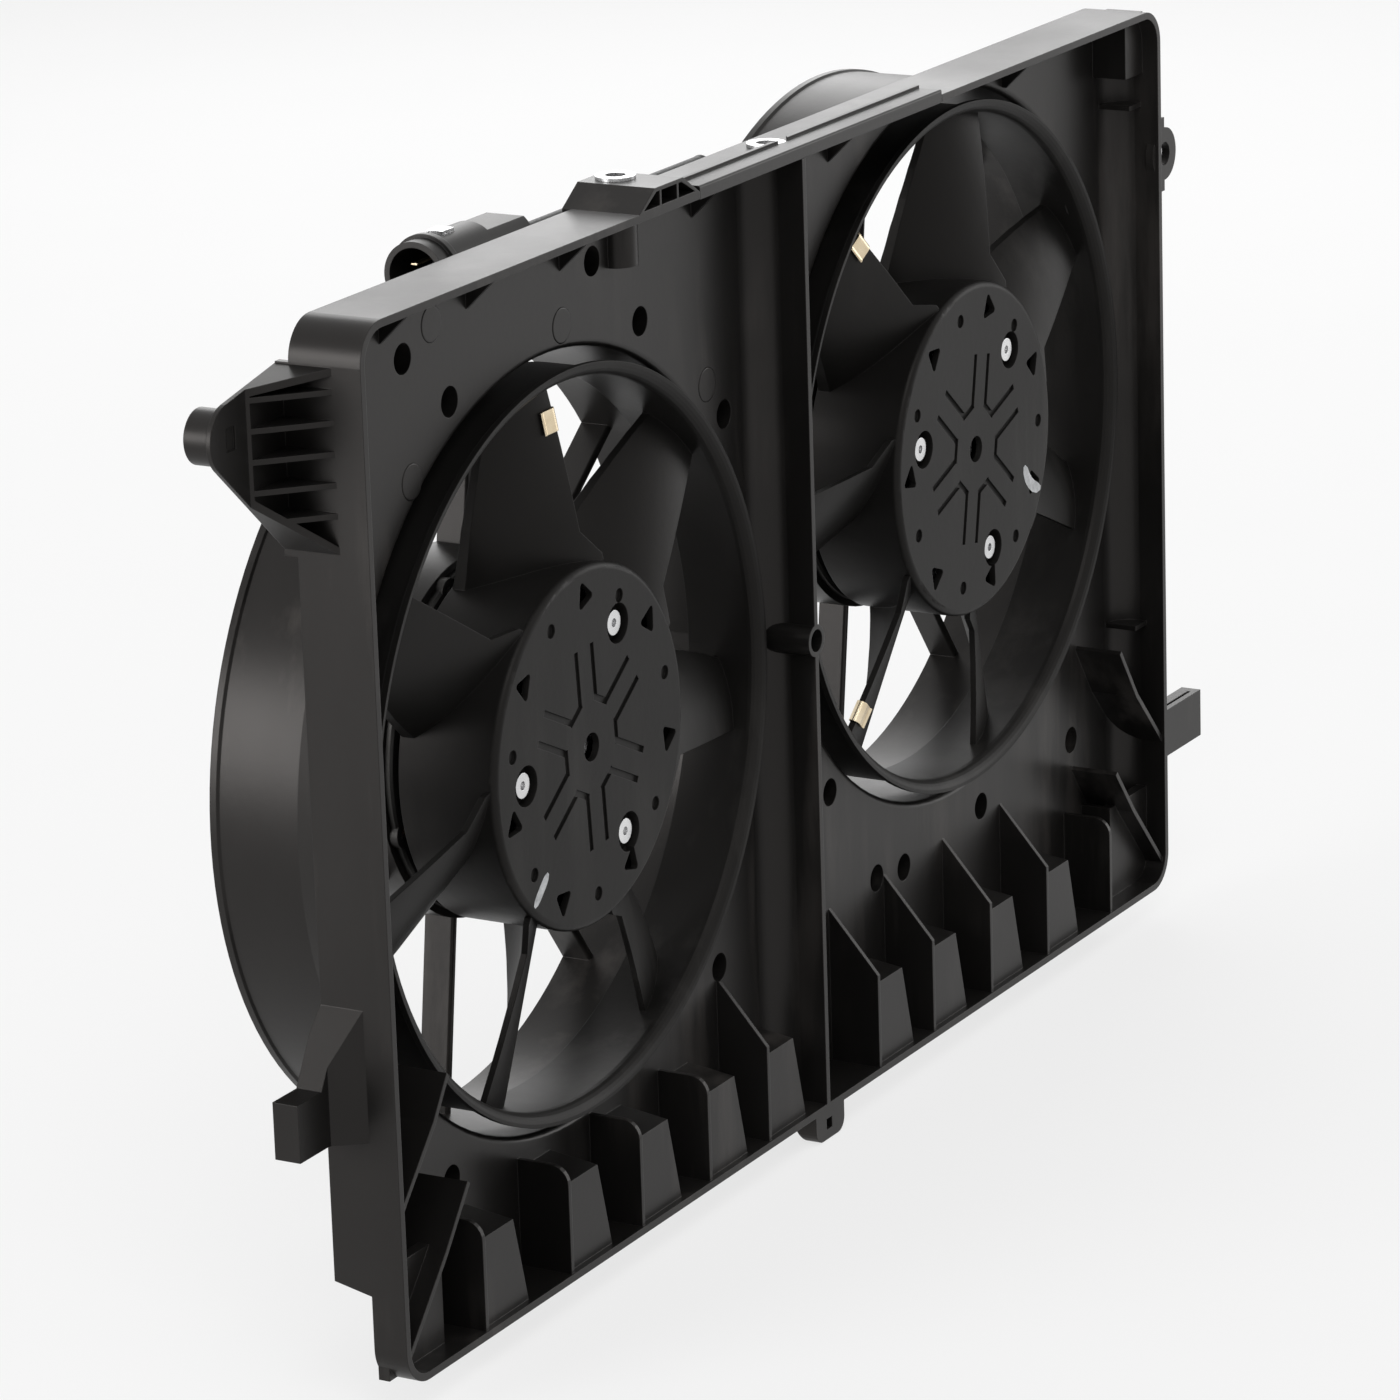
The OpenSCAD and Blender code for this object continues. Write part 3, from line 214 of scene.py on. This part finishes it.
def taped(name, dark, light):
    """Leads wrapped in tape: slanted overlaps, one every 24 mm along a run, with a fine cloth grain."""
    mat, tree, shader, place = new_material(name)
    fine = noise(tree, place, scale=900.0, detail=3.0)
    wave = tree.nodes.new("ShaderNodeTexWave")
    wave.wave_type = "BANDS"
    wave.bands_direction = "DIAGONAL"
    wave.wave_profile = "SAW"
    wave.inputs["Scale"].default_value = 26.0
    wave.inputs["Distortion"].default_value = 0.4
    tree.links.new(place, wave.inputs["Vector"])
    tree.links.new(tint(tree, fine, dark, light), shader.inputs["Base Color"])
    tree.links.new(spread(tree, fine, 0.42, 0.6), shader.inputs["Roughness"])
    shader.inputs["Specular IOR Level"].default_value = 0.35
    bump(tree, shader, [(wave.outputs["Fac"], TAPE_STEP), (fine, 0.00003)], TAPE_EDGE)
    return mat


def make_materials():
    return {
        "shroud_plastic": plastic(
            "shroud_plastic", (0.0062, 0.0058, 0.0055), (0.0115, 0.0108, 0.0103), rough=0.34,
            level=0.24, flow=(1.0, 1.0, 0.4), mark=(0.034, 0.031, 0.029)),
        "fan_plastic": plastic(
            "fan_plastic", (0.0075, 0.0071, 0.0067), (0.0115, 0.0110, 0.0105), rough=0.40,
            grain=0.00003, level=0.12, mark=(0.020, 0.019, 0.018)),
        "trim_plastic": plastic(
            "trim_plastic", (0.0065, 0.0065, 0.0063), (0.0110, 0.0110, 0.0108), rough=0.38),
        "conduit_plastic": taped("conduit_plastic", (0.010, 0.010, 0.010), (0.020, 0.020, 0.021)),
        "steel_parts": metal("steel_parts", (0.60, 0.60, 0.61), (0.78, 0.78, 0.78), rough=0.26),
        "brass_parts": metal("brass_parts", (0.60, 0.49, 0.33), (0.82, 0.71, 0.52), rough=0.30),
        "magnets": plastic("magnets", (0.06, 0.06, 0.065), (0.09, 0.09, 0.10), rough=0.5),
        "copper_wire": metal(
            "copper_wire", (0.45, 0.18, 0.08), (0.62, 0.28, 0.14), rough=0.35,
            stretch=(1.0, 22.0, 1.0)),
        "board": plastic("board", (0.03, 0.16, 0.08), (0.05, 0.22, 0.11), rough=0.35),
        "motor_alloy": metal("motor_alloy", (0.30, 0.30, 0.31), (0.42, 0.42, 0.43), rough=0.50),
        "dark_alloy": metal("dark_alloy", (0.035, 0.034, 0.033), (0.060, 0.058, 0.056), rough=0.55),
    }


def paint_material():
    mat, tree, shader, place = new_material("paint_mark")
    cloud = noise(tree, place, scale=420.0)
    tree.links.new(tint(tree, cloud, (0.36, 0.37, 0.38), (0.62, 0.63, 0.64)), shader.inputs["Base Color"])
    tree.links.new(spread(tree, cloud, 0.35, 0.6), shader.inputs["Roughness"])
    bump(tree, shader, [(cloud, 0.00008)])
    return mat


# Pieces of the scene: paint and ejector marks, and the balance clips in the photograph's size
HUB_FACE = 0.0105
PANEL_FACE = 0.025
LEFT_AXIS = (-0.174, 0.0)
RIGHT_AXIS = (0.174, 0.0425)

# Each hub's paint mark, as radius in millimetres and angle in degrees
LEFT_MARK = [(r, 228.3 - (r - 57) * 0.06) for r in range(57, 74, 2)]
RIGHT_MARK = [(52, -22), (54, -24), (57, -26.5), (61, -28), (65, -28.5), (69, -28.2), (72.5, -27.5)]
LEFT_MARK_WIDTH = 0.0042
RIGHT_MARK_WIDTH = 0.0055
PAINT_THICK = 0.00012
STROKE_END = 0.12

# Ejector marks: places as X and Z, and the rim as (inset, share of the rise)
EJECTOR_MARKS = [
    (-0.1608, 0.1715), (-0.2592, 0.1936), (-0.2781, 0.1349),
    (-0.0441, 0.1206), (0.305, 0.13), (0.03, -0.17),
]
EJECTOR_R = 0.0075
EJECTOR_RISE = 0.00025
EJECTOR_RIM = ((0.0, 0.0), (0.0003, 0.7), (0.0007, 1.0))
EJECTOR_SIDES = 48

# Balance clips: the lips as (distance back from the open end, distance out from the leg)
CLIP_LENGTH = 0.0096
CLIP_REACH = 0.0094
CLIP_SHEET = 0.0008
CLIP_HALF = 0.00225
CLIP_LIP = ((0.0, 0.0006), (0.0006, 0.0001), (0.0014, -0.0002), (0.003, -0.0001))
CLIP_FOLD_STEP = 15
WELD = 1e-6


def piece_from(bm, name, material):
    """Makes an object of a finished mesh, with its faces turned outward."""
    bmesh.ops.recalc_face_normals(bm, faces=bm.faces)
    mesh = bpy.data.meshes.new(name)
    bm.to_mesh(mesh)
    bm.free()
    mesh.materials.append(material)
    obj = bpy.data.objects.new(name, mesh)
    scene.collection.objects.link(obj)
    return obj


def stroke(name, body, points, width, y, material):
    """Brush stroke on a face at depth y: a closed strip through X/Z points, with rounded ends."""
    bm = bmesh.new()
    left, right = [], []
    count = len(points)
    for i, (x, z) in enumerate(points):
        ahead = Vector(points[min(i + 1, count - 1)]) - Vector(points[max(i - 1, 0)])
        side = Vector((-ahead.y, ahead.x)).normalized()
        w = width / 2 * math.sqrt(max(STROKE_END, 1 - (2 * i / (count - 1) - 1) ** 4))
        left.append((x + side.x * w, z + side.y * w))
        right.append((x - side.x * w, z - side.y * w))
    ring = left + right[::-1]
    front = [bm.verts.new((x, y - PAINT_THICK, z)) for x, z in ring]
    back = [bm.verts.new((x, y, z)) for x, z in ring]
    bm.faces.new(front)
    bm.faces.new(back[::-1])
    for i in range(len(ring)):
        j = (i + 1) % len(ring)
        bm.faces.new((front[i], back[i], back[j], front[j]))
    obj = piece_from(bm, name, material)
    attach(obj, body)


def disc(name, x, z, y, material):
    """Round ejector mark, a low dome with a soft rim on the panel's face."""
    bm = bmesh.new()
    rows = []
    for inset, rise in EJECTOR_RIM:
        radius = EJECTOR_R - inset
        turns = [2 * math.pi * i / EJECTOR_SIDES for i in range(EJECTOR_SIDES)]
        rows.append([
            bm.verts.new((x + radius * math.cos(a), y - EJECTOR_RISE * rise, z + radius * math.sin(a)))
            for a in turns
        ])
    for low, high in zip(rows, rows[1:]):
        for i in range(EJECTOR_SIDES):
            j = (i + 1) % EJECTOR_SIDES
            bm.faces.new((low[i], low[j], high[j], high[i]))
    bm.faces.new(rows[-1])
    bm.faces.new(rows[0][::-1])
    obj = piece_from(bm, name, material)
    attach(obj, "shroud")


def islands(obj):
    """Splits a node's faces into its separate solids, each a list of (area, normal, centre, corners)."""
    bm = bmesh.new()
    bm.from_mesh(obj.data)
    bmesh.ops.remove_doubles(bm, verts=bm.verts, dist=WELD)
    bm.faces.ensure_lookup_table()
    seen, groups = set(), []
    for first in bm.faces:
        if first.index in seen:
            continue
        stack, group = [first], []
        seen.add(first.index)
        while stack:
            face = stack.pop()
            corners = [v.co.copy() for v in face.verts]
            group.append((face.calc_area(), face.normal.copy(), face.calc_center_median(), corners))
            for edge in face.edges:
                for other in edge.link_faces:
                    if other.index not in seen:
                        seen.add(other.index)
                        stack.append(other)
        groups.append(group)
    bm.free()
    return groups


def clip_axes(group):
    """A clip's fold point, and its directions inward from the fold, across the legs and along the fold.

    The directions come from how much area faces each way: most across, least along.
    """
    facing = sum((a * np.outer(n, n) for a, n, _, _ in group), np.zeros((3, 3)))
    along, inward, across = (Vector(v) for v in np.linalg.eigh(facing)[1].T)
    points = [p for _, _, _, corners in group for p in corners]
    low, high = min(p.dot(inward) for p in points), max(p.dot(inward) for p in points)
    weight = sum(a for a, _, _, _ in group)
    heavy = sum(a * c.dot(inward) for a, _, c, _ in group) / weight
    if heavy > (low + high) / 2:
        inward, low = -inward, -high
    middle = [(min(p.dot(d) for p in points) + max(p.dot(d) for p in points)) / 2
              for d in (across, along)]
    fold = inward * low + across * middle[0] + along * middle[1]
    return fold, inward, across, along


def clip_profile():
    """Sheet's centre line from one lip round the fold to the other, as (inward, across)."""
    leg = [(CLIP_REACH - back, CLIP_HALF + out) for back, out in CLIP_LIP]
    centre = CLIP_HALF + CLIP_SHEET / 2
    turn = [(centre - CLIP_HALF * math.sin(math.radians(a)), CLIP_HALF * math.cos(math.radians(a)))
            for a in range(0, 181, CLIP_FOLD_STEP)]
    return leg + turn + [(x, -y) for x, y in reversed(leg)]


def spring_clips(name, node, body):
    """Folded spring clips with flared lips, in the places of a node's plain ones."""
    bm = bmesh.new()
    line = [Vector(p) for p in clip_profile()]
    count = len(line)
    for group in islands(nodes[node]):
        fold, inward, across, along = clip_axes(group)
        sides = []
        for shift in (CLIP_SHEET / 2, -CLIP_SHEET / 2):
            for i, p in enumerate(line):
                ahead = (line[min(i + 1, count - 1)] - line[max(i - 1, 0)]).normalized()
                sides.append(p + Vector((-ahead.y, ahead.x)) * shift)
        near, far = [
            [bm.verts.new(fold + inward * p.x + across * p.y + along * end) for p in sides]
            for end in (-CLIP_LENGTH / 2, CLIP_LENGTH / 2)
        ]
        for i in range(count - 1):
            j = count + i
            bm.faces.new((near[i], near[i + 1], near[j + 1], near[j]))
            bm.faces.new((far[j], far[j + 1], far[i + 1], far[i]))
            bm.faces.new((near[i], far[i], far[i + 1], near[i + 1]))
            bm.faces.new((near[j], near[j + 1], far[j + 1], far[j]))
        for i in (0, count - 1):
            bm.faces.new((near[i], near[count + i], far[count + i], far[i]))
    obj = piece_from(bm, name, materials["brass_parts"])
    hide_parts(node)
    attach(obj, body)


def around(axis, mark):
    """Turns a mark's (millimetres, degrees) about an axis into X/Z points."""
    return [(axis[0] + r / 1000 * math.cos(math.radians(a)), axis[1] + r / 1000 * math.sin(math.radians(a)))
            for r, a in mark]


def make_details():
    spring_clips("spring_clip_left", "balance_clip_left", "left_rotor")
    spring_clips("spring_clips_right", "balance_clips_right", "right_rotor")
    paint = paint_material()
    stroke("left_hub_mark", "left_rotor",
           around(LEFT_AXIS, LEFT_MARK), LEFT_MARK_WIDTH, HUB_FACE, paint)
    stroke("right_hub_mark", "right_rotor",
           around(RIGHT_AXIS, RIGHT_MARK), RIGHT_MARK_WIDTH, HUB_FACE, paint)
    for i, (x, z) in enumerate(EJECTOR_MARKS):
        disc("ejector_mark_%d" % (i + 1), x, z, PANEL_FACE, materials["shroud_plastic"])


# Stage
FLOOR_HALF = 14.0
FLOOR_DROP = 0.0005
FLOOR_GLOW = 0.72
WORLD_SEEN = 1.0
WORLD_LIGHT = 0.5


def any_ray(tree):
    """1 for camera, glossy and transmission rays, otherwise 0."""
    path = tree.nodes.new("ShaderNodeLightPath")
    value = path.outputs["Is Camera Ray"]
    for name in ("Is Glossy Ray", "Is Transmission Ray"):
        most = tree.nodes.new("ShaderNodeMath")
        most.operation = "MAXIMUM"
        tree.links.new(value, most.inputs[0])
        tree.links.new(path.outputs[name], most.inputs[1])
        value = most.outputs[0]
    return value


def stage_material():
    """Pale floor that the camera sees as nearly white, with the object's soft shadow."""
    mat, tree, shader, place = new_material("floor_white")
    cloud = noise(tree, place, scale=3.0, detail=3.0)
    tree.links.new(tint(tree, cloud, (0.87, 0.87, 0.87), (0.90, 0.90, 0.90)), shader.inputs["Base Color"])
    tree.links.new(spread(tree, cloud, 0.8, 0.9), shader.inputs["Roughness"])
    shader.inputs["Specular IOR Level"].default_value = 0.1
    glow = tree.nodes.new("ShaderNodeEmission")
    mix = tree.nodes.new("ShaderNodeMixShader")
    part = tree.nodes.new("ShaderNodeMath")
    part.operation = "MULTIPLY"
    part.inputs[1].default_value = FLOOR_GLOW
    tree.links.new(any_ray(tree), part.inputs[0])
    tree.links.new(part.outputs[0], mix.inputs["Fac"])
    tree.links.new(shader.outputs[0], mix.inputs[1])
    tree.links.new(glow.outputs[0], mix.inputs[2])
    tree.links.new(mix.outputs[0], tree.nodes["Material Output"].inputs["Surface"])
    return mat


def make_floor():
    low = cad_low.z - FLOOR_DROP
    corners = [(x, y, low) for x, y in (
        (-FLOOR_HALF, -FLOOR_HALF), (FLOOR_HALF, -FLOOR_HALF),
        (FLOOR_HALF, FLOOR_HALF), (-FLOOR_HALF, FLOOR_HALF))]
    mesh = bpy.data.meshes.new("floor")
    mesh.from_pydata(corners, [], [(0, 1, 2, 3)])
    mesh.materials.append(stage_material())
    floor = bpy.data.objects.new("floor", mesh)
    scene.collection.objects.link(floor)


def make_world():
    """World that is white where it is seen, and half as strong where it lights the object."""
    world = bpy.data.worlds.new("world")
    scene.world = world
    world.use_nodes = True
    tree = world.node_tree
    tree.nodes.clear()
    out = tree.nodes.new("ShaderNodeOutputWorld")
    mix = tree.nodes.new("ShaderNodeMixShader")
    tree.links.new(any_ray(tree), mix.inputs["Fac"])
    for socket, strength in ((1, WORLD_LIGHT), (2, WORLD_SEEN)):
        back = tree.nodes.new("ShaderNodeBackground")
        back.inputs["Color"].default_value = WHITE
        back.inputs["Strength"].default_value = strength
        tree.links.new(back.outputs[0], mix.inputs[socket])
    tree.links.new(mix.outputs[0], out.inputs["Surface"])


# Round area lights, as name, place, aim, diameter and power in watts
LIGHTS = (
    ("key", (-1.7, -1.2, 2.6), (0, 0, 0), 1.6, 22),
    ("left", (-2.6, 1.3, 0.5), (0, 0, 0), 1.4, 40),
    ("back", (2.2, 1.3, 1.3), (0, 0, 0.1), 1.8, 18),
    ("right", (2.5, -1.6, 0.6), (0.15, 0, 0), 1.6, 16),
)


def area_light(name, place, aim, size, power):
    data = bpy.data.lights.new(name, "AREA")
    data.shape = "DISK"
    data.size = size
    data.energy = power
    lamp = bpy.data.objects.new(name, data)
    lamp.location = place
    lamp.rotation_euler = (Vector(aim) - Vector(place)).to_track_quat("-Z", "Y").to_euler()
    lamp.visible_camera = False
    scene.collection.objects.link(lamp)


make_camera()
materials = make_materials()
slots = {s["node"]: s["material_slot"] for s in frame["record"]["subparts"]}
for name, obj in nodes.items():
    # The record gives the motor bases motor_alloy; the scene shows them in a dark alloy.
    look = "dark_alloy" if name.startswith("motor_base") else slots[name]
    for s in obj.material_slots:
        s.material = materials[look]
make_details()
make_floor()
make_world()
for light in LIGHTS:
    area_light(*light)
scene.view_settings.view_transform = "Standard"
